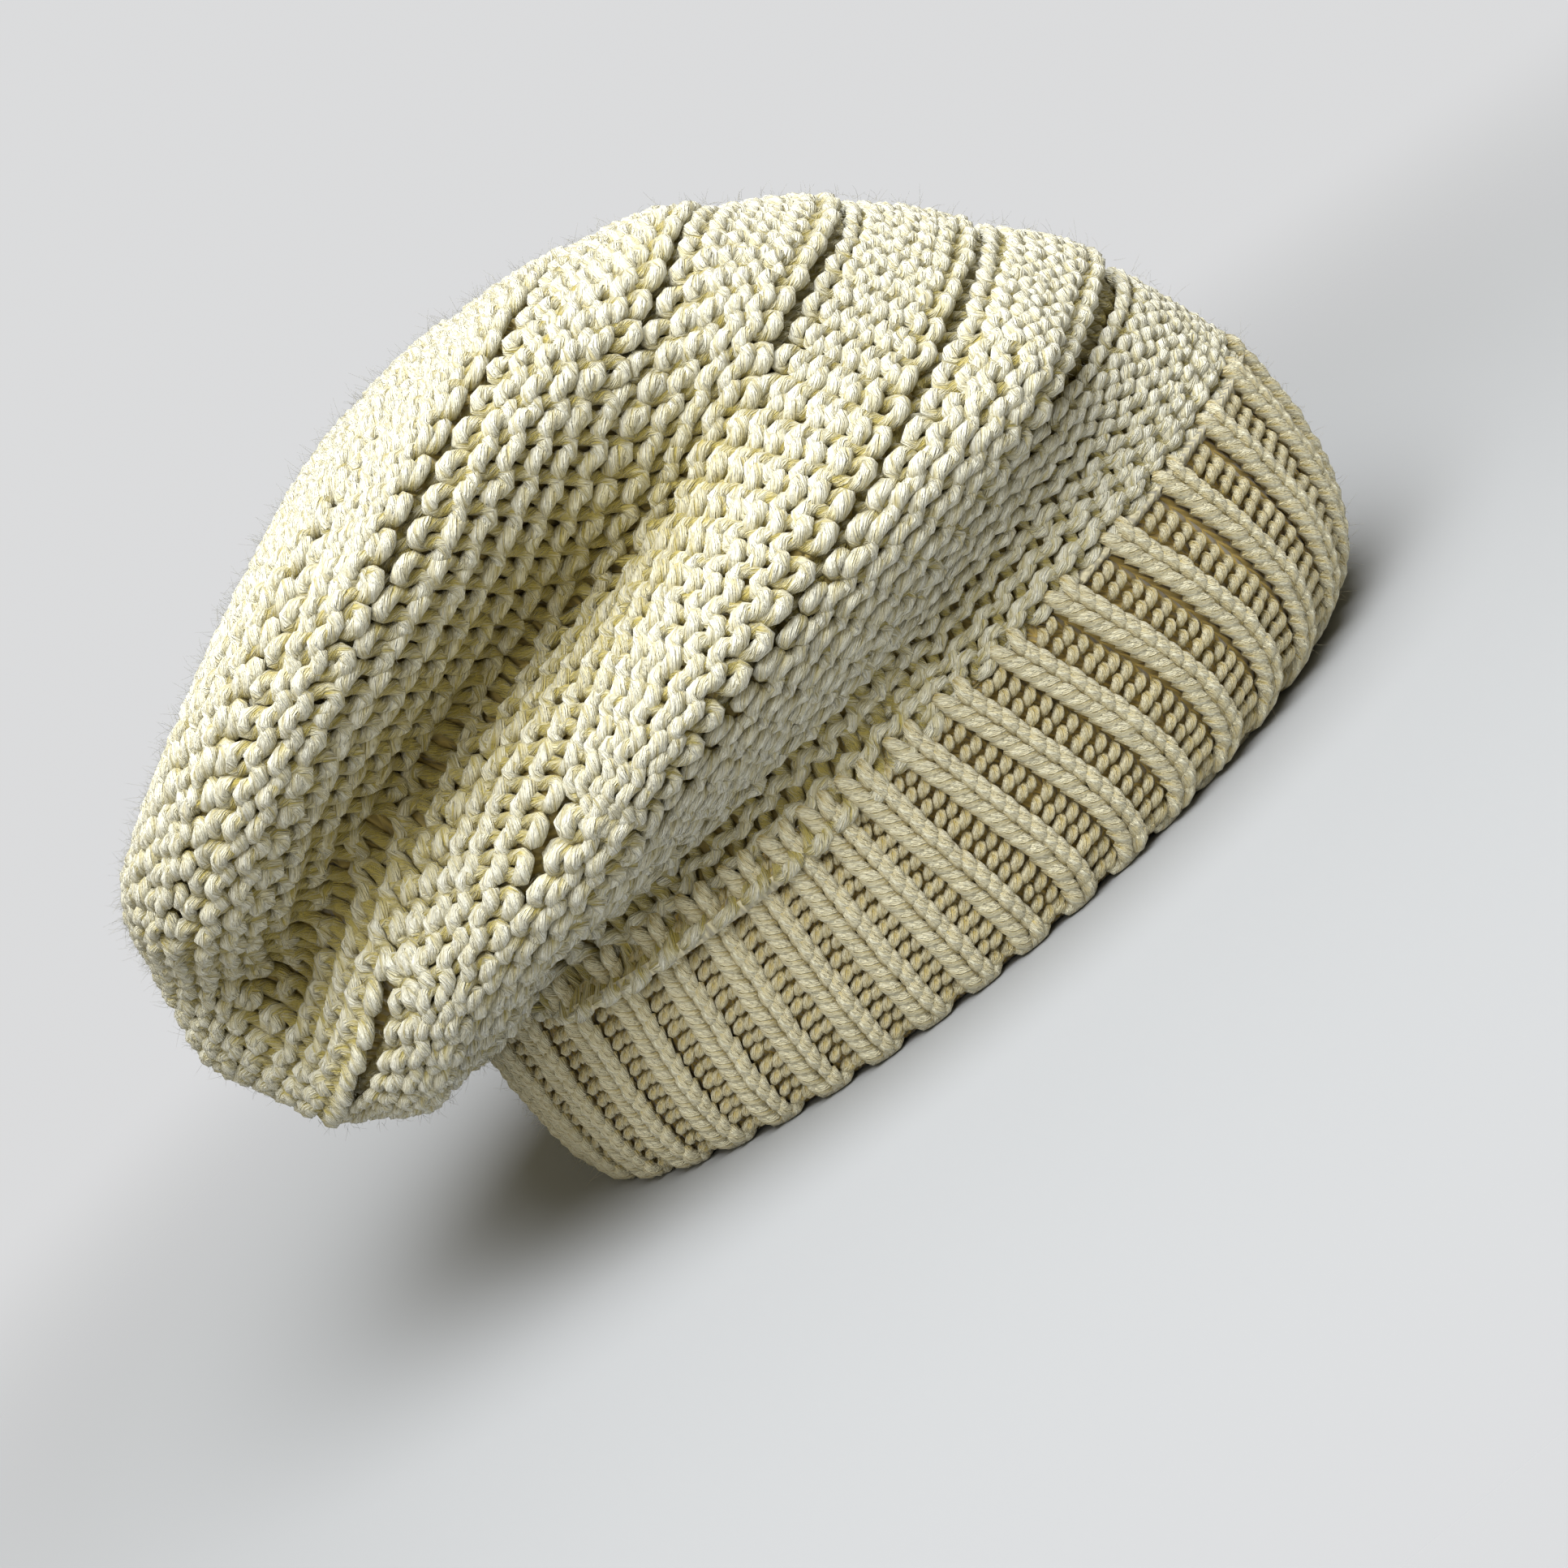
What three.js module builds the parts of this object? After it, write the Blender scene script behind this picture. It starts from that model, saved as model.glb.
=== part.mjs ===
// Slouchy knitted beanie: a ribbed band and a welted crown that slouches over the nape.
// Millimetres, +Z up from the rim plane, +X towards the forehead, the hat's right side at -Y.
// The origin is at the centre of the footprint, on the surface that the rim stands on.
import * as THREE from 'three';
import { mergeVertices } from 'three/addons/utils/BufferGeometryUtils.js';

// Driving dimensions, outside sizes over the knit
const RIM_LENGTH = 220;
const RIM_WIDTH = 168;
const BAND_FRONT_HEIGHT = 66;
const BAND_SIDE_HEIGHT = 58;
const BAND_NAPE_HEIGHT = 57;
const FRONT_FLARE = 34;
const NAPE_FLARE = 7;
const SIDE_FLARE = 7;
const BAND_WALL = 4;
const RIB_RAISE = 2.8;
const RIB_COUNT = 40;
const RIB_LEAN = 18;
const CROWN_HEIGHT = 192;
const CROWN_WIDTH = 206;
const NAPE_OVERHANG = 51;
const OVERHANG_DIP = 6;
const CROWN_WALL = 4;
const WELT_DROP = 1.8;
const NOTCH_DEPTH = 4.5;
const NOTCH_WIDTH = 6;
const FOLD_DEPTH = 22;
const SEAM_GAP = 0.3;

// How finely the knit is cut into faces
const CROWN_COLUMNS = 68;
const SIDE_CROWDING = 0.2;
const RIB_CROWDING = 0.083;
const LINING_ROWS = 13;
const LINE_STEPS = 30;

// The ribbed band from rim to top, as shares of its height and of each flare
const BAND_LEVELS = [
  { up: 0.00, front: 0.00, nape: 0.00, side: 0.00 },
  { up: 0.12, front: 0.62, nape: 0.70, side: 0.40 },
  { up: 0.36, front: 0.92, nape: 1.00, side: 0.80 },
  { up: 0.68, front: 1.00, nape: 1.00, side: 1.00 },
  { up: 1.00, front: 0.97, nape: 0.90, side: 1.00 },
];

// The edges of the welts, from the band to the gathered tip. Each is a tilted ring, given where it
// crosses the middle plane: over the top (back, up) and under the slouch (out, lift, dip).
// back: share of the crown's length behind the front of the band's top
// up: share of the rise from the band's front to the top of the crown
// out: share of the nape overhang, lift: share of the rise from the band's nape to the top
// dip: share of how far the overhang hangs below the band's top
// half: share of half the crown's width, bow: how far the sides ride up, share of the crown's height
const WELT_EDGES = [
  { name: 'first', back: 0.048, up: 0.320, out: 0.070, lift: 0.000, dip: 0.3, half: 0.930, bow: -0.015 },
  { name: 'second', back: 0.113, up: 0.527, out: 0.170, lift: 0.000, dip: 0.6, half: 0.985, bow: 0.025 },
  { name: 'third', back: 0.190, up: 0.732, out: 0.360, lift: 0.015, dip: 0.6, half: 1.000, bow: 0.060 },
  { name: 'fourth', back: 0.280, up: 0.874, out: 0.760, lift: 0.045, dip: 0.3, half: 0.985, bow: 0.060 },
  { name: 'fifth', back: 0.378, up: 0.960, out: 1.055, lift: 0.200, dip: 0.0, half: 0.935, bow: 0.080 },
  { name: 'sixth', back: 0.488, up: 1.000, out: 1.030, lift: 0.335, dip: 0.0, half: 0.860, bow: 0.065 },
  { name: 'seventh', back: 0.596, up: 0.978, out: 0.955, lift: 0.422, dip: 0.0, half: 0.760, bow: 0.050 },
  { name: 'eighth', back: 0.688, up: 0.880, out: 0.885, lift: 0.488, dip: 0.0, half: 0.635, bow: 0.035 },
  { name: 'ninth', back: 0.762, up: 0.765, out: 0.805, lift: 0.532, dip: 0.0, half: 0.475, bow: 0.020 },
  { name: 'tenth', back: 0.831, up: 0.688, out: 0.690, lift: 0.566, dip: 0.0, half: 0.280, bow: 0.005 },
  { name: 'tip', back: 0.894, up: 0.595, out: 0.470, lift: 0.635, dip: 0.0, half: 0.000, bow: 0.000 },
];

// How open the notch below each welt edge is over the top, and how deep, as shares
const NOTCHES = [
  { welt: 'first', open: 1.00, depth: 1.00 },
  { welt: 'second', open: 1.00, depth: 1.00 },
  { welt: 'third', open: 0.90, depth: 1.00 },
  { welt: 'fourth', open: 0.60, depth: 1.00 },
  { welt: 'fifth', open: 0.45, depth: 0.75 },
  { welt: 'sixth', open: 0.40, depth: 0.50 },
  { welt: 'seventh', open: 0.40, depth: 0.45 },
  { welt: 'eighth', open: 0.40, depth: 0.45 },
  { welt: 'ninth', open: 0.40, depth: 0.40 },
  { welt: 'tenth', open: 0.40, depth: 0.30 },
  { welt: 'tip', open: 0.30, depth: 0.00 },
];

// Rolls and valleys on the sides, each along a bent line seen from the side.
// side: -1 right, +1 left. Positions are shares of the crown's length back from its front and of
// its height. reach: share of the crown's height, push: share of the fold depth, out or in.
const FOLDS = {
  front_roll: { side: -1, from: [0.17, 0.57], via: [0.46, 0.49], to: [0.80, 0.34], reach: 0.105, push: 0.6 },
  main_valley: { side: -1, from: [0.36, 0.73], via: [0.58, 0.68], to: [0.84, 0.54], reach: 0.095, push: -1 },
  top_roll: { side: -1, from: [0.30, 0.93], via: [0.54, 0.87], to: [0.80, 0.72], reach: 0.11, push: 0.38 },
  pocket: { side: -1, from: [0.86, 0.66], via: [0.90, 0.58], to: [0.95, 0.50], reach: 0.11, push: -0.42 },
  low_roll: { side: -1, from: [0.82, 0.46], via: [0.87, 0.40], to: [0.93, 0.33], reach: 0.075, push: 0.40 },
  under_band: { side: -1, from: [0.10, 0.42], via: [0.35, 0.36], to: [0.62, 0.33], reach: 0.06, push: -0.25 },
  left_roll: { side: 1, from: [0.22, 0.50], via: [0.52, 0.45], to: [0.84, 0.36], reach: 0.11, push: 0.50 },
  left_valley: { side: 1, from: [0.44, 0.70], via: [0.64, 0.62], to: [0.88, 0.50], reach: 0.09, push: -0.75 },
  left_top_roll: { side: 1, from: [0.38, 0.88], via: [0.60, 0.82], to: [0.84, 0.68], reach: 0.11, push: 0.3 },
};

const LAST_LEVEL = BAND_LEVELS.length - 1;
const BAND_TOP_FRONT = RIM_LENGTH / 2 + FRONT_FLARE * BAND_LEVELS[LAST_LEVEL].front;
const BAND_TOP_NAPE = -(RIM_LENGTH / 2 + NAPE_FLARE * BAND_LEVELS[LAST_LEVEL].nape);
const BAND_TOP_HALF = RIM_WIDTH / 2 + SIDE_FLARE;
const CROWN_LENGTH = BAND_TOP_FRONT - BAND_TOP_NAPE + NAPE_OVERHANG;
const FULL_TURN = 2 * Math.PI;
const STEP = 1e-3;

// A smooth run through evenly spaced values, which bends as a knitted edge does
function smoothRun(values, at) {
  const last = values.length - 1;
  const place = Math.min(Math.max(at, 0), last);
  const i = Math.min(Math.floor(place), last - 1);
  const t = place - i;
  const before = i > 0 ? values[i - 1] : 2 * values[0] - values[1];
  const after = i + 2 <= last ? values[i + 2] : 2 * values[last] - values[last - 1];
  const startSlope = (values[i + 1] - before) / 2;
  const endSlope = (after - values[i]) / 2;
  const t2 = t * t;
  const t3 = t2 * t;
  return (2 * t3 - 3 * t2 + 1) * values[i] + (t3 - 2 * t2 + t) * startSlope
    + (3 * t2 - 2 * t3) * values[i + 1] + (t3 - t2) * endSlope;
}

function smoothStep(low, high, value) {
  const t = Math.min(Math.max((value - low) / (high - low), 0), 1);
  return t * t * (3 - 2 * t);
}

// Height of the band's top edge, which is longest over the forehead
function bandTopHeight(angle) {
  const lengthways = Math.cos(angle);
  const end = lengthways > 0 ? BAND_FRONT_HEIGHT : BAND_NAPE_HEIGHT;
  return BAND_SIDE_HEIGHT + (end - BAND_SIDE_HEIGHT) * lengthways * lengthways;
}

// Half axes of the band at a level, seen from above. Front and nape halves meet at the rim's middle.
function bandPoint(angle, level, inset) {
  const flares = BAND_LEVELS.map((row) => (Math.cos(angle) > 0
    ? FRONT_FLARE * row.front
    : NAPE_FLARE * row.nape));
  const sides = BAND_LEVELS.map((row) => SIDE_FLARE * row.side);
  const ups = BAND_LEVELS.map((row) => row.up);
  const alongX = RIM_LENGTH / 2 + smoothRun(flares, level) - inset;
  const alongY = RIM_WIDTH / 2 + smoothRun(sides, level) - inset;
  return new THREE.Vector3(
    alongX * Math.cos(angle),
    alongY * Math.sin(angle),
    bandTopHeight(angle) * smoothRun(ups, level),
  );
}

// Where a crown ring crosses the middle plane over the top and under the slouch
function overTop(edge) {
  return {
    x: BAND_TOP_FRONT - edge.back * CROWN_LENGTH,
    z: BAND_FRONT_HEIGHT + edge.up * (CROWN_HEIGHT - BAND_FRONT_HEIGHT),
  };
}

function underSlouch(edge) {
  const rise = edge.lift * (CROWN_HEIGHT - BAND_NAPE_HEIGHT);
  return {
    x: BAND_TOP_NAPE - edge.out * NAPE_OVERHANG,
    z: BAND_NAPE_HEIGHT + rise - edge.dip * OVERHANG_DIP,
  };
}

const CROWN_RINGS = WELT_EDGES.map((edge) => ({
  top: overTop(edge),
  under: underSlouch(edge),
  half: edge.half * CROWN_WIDTH / 2,
  bow: edge.bow * CROWN_HEIGHT,
}));
const RING_TOTAL = CROWN_RINGS.length;

// The crown's plain surface, at a ring number (0 at the band, RING_TOTAL at the tip) and an angle
function plainCrown(ring, angle) {
  const start = bandPoint(0, LAST_LEVEL, 0);
  const end = bandPoint(Math.PI, LAST_LEVEL, 0);
  const run = (first, pick) => smoothRun([first, ...CROWN_RINGS.map(pick)], ring);
  const topX = run(start.x, (r) => r.top.x);
  const topZ = run(start.z + SEAM_GAP, (r) => r.top.z);
  const underX = run(end.x, (r) => r.under.x);
  const underZ = run(end.z + SEAM_GAP, (r) => r.under.z);
  const half = run(BAND_TOP_HALF, (r) => r.half);
  const bow = run(0, (r) => r.bow);
  const across = Math.cos(angle);
  const ringed = new THREE.Vector3(
    (topX + underX) / 2 + (topX - underX) / 2 * across,
    half * Math.sin(angle),
    (topZ + underZ) / 2 + (topZ - underZ) / 2 * across + bow * Math.sin(angle) ** 2,
  );
  // Near the band the ring takes the band's own top edge
  const seam = bandPoint(angle, LAST_LEVEL, 0);
  seam.z += SEAM_GAP;
  return ringed.lerp(seam, 1 - smoothStep(0, 1, ring));
}

function outwardAt(surface, ring, angle) {
  const alongRing = surface(ring, angle + STEP).sub(surface(ring, angle - STEP));
  const upCrown = surface(ring + STEP, angle).sub(surface(ring - STEP, angle));
  return alongRing.cross(upCrown).normalize();
}

// Point at share t of a bent line through three points
function bentLine(fold, t) {
  const a = (1 - t) * (1 - t);
  const b = 2 * t * (1 - t);
  const c = t * t;
  const pullX = 2 * fold.via[0] - (fold.from[0] + fold.to[0]) / 2;
  const pullZ = 2 * fold.via[1] - (fold.from[1] + fold.to[1]) / 2;
  return [
    a * fold.from[0] + b * pullX + c * fold.to[0],
    a * fold.from[1] + b * pullZ + c * fold.to[1],
  ];
}

// How far the folds push the cloth out or in at a point of the plain crown
function foldPush(point) {
  const foldStart = 0.22 * CROWN_WIDTH;
  let push = 0;
  for (const fold of Object.values(FOLDS)) {
    const sideways = smoothStep(0, foldStart, point.y * fold.side);
    let nearest = Infinity;
    for (let i = 0; i <= LINE_STEPS; i += 1) {
      const [back, up] = bentLine(fold, i / LINE_STEPS);
      const dx = BAND_TOP_FRONT - back * CROWN_LENGTH - point.x;
      const dz = up * CROWN_HEIGHT - point.z;
      nearest = Math.min(nearest, Math.hypot(dx, dz));
    }
    const reach = fold.reach * CROWN_HEIGHT;
    push += fold.push * FOLD_DEPTH * sideways * Math.exp(-((nearest / reach) ** 2));
  }
  return push;
}

// The crown with its folds, before the welts are cut into it
function foldedCrown(ring, angle) {
  const point = plainCrown(ring, angle);
  const settle = smoothStep(0, 1.2, ring) * (1 - smoothStep(RING_TOTAL - 1, RING_TOTAL, ring));
  const outward = outwardAt(plainCrown, Math.min(ring, RING_TOTAL - 0.2), angle);
  return point.addScaledVector(outward, foldPush(point) * settle);
}

// Rows of one welt, each at a share of its length, sunk below its raised lower edge
function weltRows(notch, angle) {
  const weltLength = (CROWN_LENGTH + CROWN_HEIGHT - BAND_FRONT_HEIGHT) / RING_TOTAL;
  const overTheTop = smoothStep(-0.2, 0.9, Math.cos(angle));
  const width = NOTCH_WIDTH / weltLength * (0.3 + 0.7 * overTheTop) * (0.4 + 0.6 * notch.open);
  const floor = WELT_DROP + (NOTCH_DEPTH - WELT_DROP) * notch.depth * (0.45 + 0.55 * overTheTop);
  return [
    { share: 0, sink: 0 },
    { share: 0.33 * (1 - width), sink: 0.2 * WELT_DROP },
    { share: 0.67 * (1 - width), sink: 0.55 * WELT_DROP },
    { share: 1 - width, sink: WELT_DROP },
    { share: 1 - 0.45 * width, sink: floor },
  ];
}

// Columns stand closer on the sides, where the folds are
function crownAngle(column) {
  const even = column / CROWN_COLUMNS * FULL_TURN;
  return even + SIDE_CROWDING * Math.sin(2 * even);
}

function crownOuterRows() {
  const rows = [];
  NOTCHES.forEach((notch, welt) => {
    const count = weltRows(notch, 0).length;
    for (let k = 0; k < count; k += 1) {
      const row = [];
      for (let c = 0; c < CROWN_COLUMNS; c += 1) {
        const angle = crownAngle(c);
        const { share, sink } = weltRows(notch, angle)[k];
        const ring = welt + share;
        const point = foldedCrown(ring, angle);
        const fade = 1 - smoothStep(RING_TOTAL - 1, RING_TOTAL, ring);
        if (ring > 0) {
          // A deep fold presses the notches in it shut
          const inward = -foldPush(plainCrown(ring, angle));
          const pressed = smoothStep(0.18 * FOLD_DEPTH, 0.55 * FOLD_DEPTH, inward);
          const depth = sink * fade * (1 - pressed);
          point.addScaledVector(outwardAt(plainCrown, ring, angle), -depth);
        }
        row.push(point);
      }
      rows.push(row);
    }
  });
  return rows;
}

function crownInnerRows() {
  const rows = [];
  const seam = [];
  for (let c = 0; c < CROWN_COLUMNS; c += 1) {
    const point = bandPoint(crownAngle(c), LAST_LEVEL, BAND_WALL + RIB_RAISE);
    point.z += SEAM_GAP;
    seam.push(point);
  }
  rows.push(seam);
  for (let k = 1; k < LINING_ROWS; k += 1) {
    const ring = k / LINING_ROWS * (RING_TOTAL - 0.5) + 0.5;
    const row = [];
    for (let c = 0; c < CROWN_COLUMNS; c += 1) {
      const angle = crownAngle(c);
      const point = foldedCrown(ring, angle);
      row.push(point.addScaledVector(outwardAt(plainCrown, ring, angle), -CROWN_WALL - NOTCH_DEPTH));
    }
    rows.push(row);
  }
  return rows;
}

// One closed body from rows of points: outside rows upwards, then inside rows, joined at the first
// row of each, and closed at a tip or along the last row of each
function closedWall(outside, inside, outsideTip, insideTip) {
  const positions = [];
  const put = (a, b, c) => positions.push(a.x, a.y, a.z, b.x, b.y, b.z, c.x, c.y, c.z);
  const strip = (lower, upper) => {
    for (let c = 0; c < lower.length; c += 1) {
      const d = (c + 1) % lower.length;
      put(lower[c], lower[d], upper[d]);
      put(lower[c], upper[d], upper[c]);
    }
  };
  for (let r = 0; r + 1 < outside.length; r += 1) {
    strip(outside[r], outside[r + 1]);
  }
  for (let r = 0; r + 1 < inside.length; r += 1) {
    strip(inside[r + 1], inside[r]);
  }
  strip(inside[0], outside[0]);
  const lastOut = outside[outside.length - 1];
  const lastIn = inside[inside.length - 1];
  if (outsideTip) {
    for (let c = 0; c < lastOut.length; c += 1) {
      const d = (c + 1) % lastOut.length;
      put(lastOut[c], lastOut[d], outsideTip);
      put(lastIn[d], lastIn[c], insideTip);
    }
  } else {
    strip(lastOut, lastIn);
  }
  const geometry = new THREE.BufferGeometry();
  geometry.setAttribute('position', new THREE.Float32BufferAttribute(positions, 3));
  const merged = mergeVertices(geometry, 1e-4);
  merged.computeVertexNormals();
  return merged;
}

function crownGeometry() {
  const tip = plainCrown(RING_TOTAL, 0);
  const outside = crownOuterRows();
  const inside = crownInnerRows();
  const lining = inside[inside.length - 1];
  const insideTip = lining.reduce((sum, p) => sum.add(p), new THREE.Vector3());
  insideTip.divideScalar(lining.length);
  return closedWall(outside, inside, tip, insideTip);
}

// One rib's columns round the band: a gap floor, then up on to the rib and down again
function ribProfile() {
  return [
    { share: 0.21, sink: RIB_RAISE },
    { share: 0.26, sink: 0 },
    { share: 0.70, sink: 0 },
    { share: 0.75, sink: RIB_RAISE },
  ];
}

// Ribs stand closer on the sides, and lean towards the nape as they rise
function ribAngle(turns, up) {
  const even = turns / RIB_COUNT * FULL_TURN;
  const angle = even + RIB_CROWDING * Math.sin(2 * even);
  const lean = RIB_LEAN / (RIM_LENGTH / 2) * (0.78 * Math.sin(2 * angle) + 0.38 * Math.sin(angle));
  return angle + lean * up;
}

function bandGeometry() {
  const columns = ribProfile();
  const rowAt = (level, insetOf) => {
    const row = [];
    for (let rib = 0; rib < RIB_COUNT; rib += 1) {
      for (const column of columns) {
        const angle = ribAngle(rib + column.share, BAND_LEVELS[level].up);
        row.push(bandPoint(angle, level, insetOf(column)));
      }
    }
    return row;
  };
  const outside = BAND_LEVELS.map((_, level) => rowAt(level, (column) => column.sink));
  const insideLevels = [0, 2, LAST_LEVEL];
  const inside = insideLevels.map((level) => rowAt(level, () => BAND_WALL + RIB_RAISE));
  return closedWall(outside, inside, null, null);
}

function ivoryKnit(name, hex) {
  const material = new THREE.MeshStandardMaterial({ color: hex, roughness: 0.95, metalness: 0 });
  material.name = name;
  return material;
}

function piece(name, geometry, material) {
  const mesh = new THREE.Mesh(geometry, material);
  mesh.name = name;
  return mesh;
}

const beanie = new THREE.Group();
beanie.name = 'slouchy_beanie';
beanie.add(piece('rib_band', bandGeometry(), ivoryKnit('ribbed_knit', 0xdcd6b4)));
beanie.add(piece('slouch_crown', crownGeometry(), ivoryKnit('purl_knit', 0xe6e1c6)));

// Stand the rim on the ground plane with the footprint's centre at the origin
const box = new THREE.Box3().setFromObject(beanie, true);
beanie.position.set(-(box.min.x + box.max.x) / 2, -(box.min.y + box.max.y) / 2, -box.min.z);
beanie.updateMatrixWorld(true);

export default beanie;
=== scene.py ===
import bmesh
import bpy
import numpy as np
from mathutils import Matrix, Vector


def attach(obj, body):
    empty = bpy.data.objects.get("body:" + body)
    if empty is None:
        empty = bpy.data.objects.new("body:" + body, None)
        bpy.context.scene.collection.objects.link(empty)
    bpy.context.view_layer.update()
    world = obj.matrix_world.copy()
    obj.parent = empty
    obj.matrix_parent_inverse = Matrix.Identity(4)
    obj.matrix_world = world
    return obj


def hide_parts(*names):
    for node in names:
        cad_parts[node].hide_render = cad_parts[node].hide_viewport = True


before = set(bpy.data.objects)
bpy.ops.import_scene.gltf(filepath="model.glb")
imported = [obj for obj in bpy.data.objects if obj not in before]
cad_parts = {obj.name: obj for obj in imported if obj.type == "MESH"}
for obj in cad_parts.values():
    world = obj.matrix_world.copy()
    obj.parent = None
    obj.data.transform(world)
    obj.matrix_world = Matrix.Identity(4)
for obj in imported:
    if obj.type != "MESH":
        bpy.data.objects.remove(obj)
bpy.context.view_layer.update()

# Crown cloth
# The wall of the crown under its stitches. It is one bag of knitted cloth, which runs from the top of the
# band over the head, slouches past the nape and closes in a gathered tip.
RIM_LENGTH, RIM_WIDTH = 220.0, 168.0
BAND_FRONT_HEIGHT, BAND_SIDE_HEIGHT, BAND_NAPE_HEIGHT = 66.0, 58.0, 57.0
FRONT_FLARE, NAPE_FLARE, SIDE_FLARE = 34.0, 7.0, 7.0
CROWN_HEIGHT, CROWN_WIDTH = 192.0, 206.0
NAPE_OVERHANG, OVERHANG_DIP = 51.0, 6.0
FOLD_DEPTH = 22.0
WELT_DROP, NOTCH_DEPTH, NOTCH_WIDTH = 1.8, 4.5, 6.0
SEAM_GAP = 0.3
FULL_TURN = 2 * np.pi
# Where the band's middle stands on the floor, seen from the middle of the whole hat
HAT_PLACE = np.array((13.4371, 1.6484, 0.0))

# Levels of the band: up, front, nape, side
BAND_LEVELS = np.array((
    (0.00, 0.00, 0.00, 0.00),
    (0.12, 0.62, 0.70, 0.40),
    (0.36, 0.92, 1.00, 0.80),
    (0.68, 1.00, 1.00, 1.00),
    (1.00, 0.97, 0.90, 1.00),
))
# Edges of the welts: back, up, out, lift, dip, half, bow
WELT_EDGES = np.array((
    (0.048, 0.320, 0.070, 0.000, 0.3, 0.930, -0.015),
    (0.113, 0.527, 0.170, 0.000, 0.6, 0.985, 0.025),
    (0.190, 0.732, 0.360, 0.015, 0.6, 1.000, 0.060),
    (0.280, 0.874, 0.760, 0.045, 0.3, 0.985, 0.060),
    (0.378, 0.960, 1.055, 0.200, 0.0, 0.935, 0.080),
    (0.488, 1.000, 1.030, 0.335, 0.0, 0.860, 0.065),
    (0.596, 0.978, 0.955, 0.422, 0.0, 0.760, 0.050),
    (0.688, 0.880, 0.885, 0.488, 0.0, 0.635, 0.035),
    (0.762, 0.765, 0.805, 0.532, 0.0, 0.475, 0.020),
    (0.831, 0.688, 0.690, 0.566, 0.0, 0.280, 0.005),
    (0.894, 0.595, 0.470, 0.635, 0.0, 0.000, 0.000),
))
# How open and how deep the notch at the upper end of each welt is
NOTCHES = np.array((
    (1.00, 1.00), (1.00, 1.00), (1.00, 1.00), (0.95, 1.00), (0.85, 0.90), (0.70, 0.80),
    (0.60, 0.60), (0.50, 0.45), (0.40, 0.40), (0.40, 0.30), (0.30, 0.00),
))
# Rolls and valleys: side, where the line starts, passes and ends, reach, push
FOLDS = (
    (-1, (0.20, 0.54), (0.52, 0.52), (0.84, 0.38), 0.095, 0.65),
    (-1, (0.38, 0.76), (0.63, 0.66), (0.92, 0.50), 0.085, -1.50),
    (-1, (0.33, 0.89), (0.60, 0.86), (0.90, 0.65), 0.105, 0.45),
    (-1, (0.82, 0.46), (0.87, 0.40), (0.93, 0.33), 0.075, 0.35),
    (-1, (0.16, 0.40), (0.44, 0.335), (0.72, 0.31), 0.055, -0.55),
    (1, (0.22, 0.50), (0.52, 0.45), (0.84, 0.36), 0.110, 0.50),
    (1, (0.44, 0.70), (0.64, 0.62), (0.88, 0.50), 0.090, -0.75),
    (1, (0.38, 0.88), (0.60, 0.82), (0.84, 0.68), 0.110, 0.30),
)
# The share of the width over which a fold fades to the hat's middle, the shares of a valley's line over which
# it deepens and opens out again, and how far it opens out
FOLD_FADE, VALLEY_DEEPENS, VALLEY_OPENS, VALLEY_RISE = 0.22, (-0.25, 0.38), (0.6, 1.0), 0.4
BAND_TOP = len(BAND_LEVELS) - 1
LAST_RING = len(WELT_EDGES)
FRONT_X = RIM_LENGTH / 2 + FRONT_FLARE * BAND_LEVELS[BAND_TOP, 1]
NAPE_X = -RIM_LENGTH / 2 - NAPE_FLARE * BAND_LEVELS[BAND_TOP, 2]
CROWN_LENGTH = FRONT_X - NAPE_X + NAPE_OVERHANG


def smooth_step(low, high, value):
    t = np.clip((value - low) / (high - low), 0, 1)
    return t * t * (3 - 2 * t)


def smooth_run(values, at):
    """A smooth run through evenly spaced values."""
    values = np.asarray(values, float)
    last = len(values) - 1
    place = np.clip(at, 0, last)
    i = np.minimum(np.floor(place).astype(int), last - 1)
    t = place - i
    held = np.concatenate(((2 * values[0] - values[1],), values, (2 * values[-1] - values[-2],)))
    before, start, end, after = held[i], held[i + 1], held[i + 2], held[i + 3]
    return ((2 * t**3 - 3 * t**2 + 1) * start + (t**3 - 2 * t**2 + t) * (end - before) / 2
            + (3 * t**2 - 2 * t**3) * end + (t**3 - t**2) * (after - start) / 2)


def band_point(turn, level, inset):
    turn, level = np.broadcast_arrays(np.asarray(turn, float), np.asarray(level, float))
    ahead = np.cos(turn)
    flare = np.where(ahead > 0, FRONT_FLARE * smooth_run(BAND_LEVELS[:, 1], level),
                     NAPE_FLARE * smooth_run(BAND_LEVELS[:, 2], level))
    end_height = np.where(ahead > 0, BAND_FRONT_HEIGHT, BAND_NAPE_HEIGHT)
    top = BAND_SIDE_HEIGHT + (end_height - BAND_SIDE_HEIGHT) * ahead**2
    return np.stack((
        (RIM_LENGTH / 2 + flare - inset) * ahead,
        (RIM_WIDTH / 2 + SIDE_FLARE * smooth_run(BAND_LEVELS[:, 3], level) - inset) * np.sin(turn),
        top * smooth_run(BAND_LEVELS[:, 0], level),
    ), -1)


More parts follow.
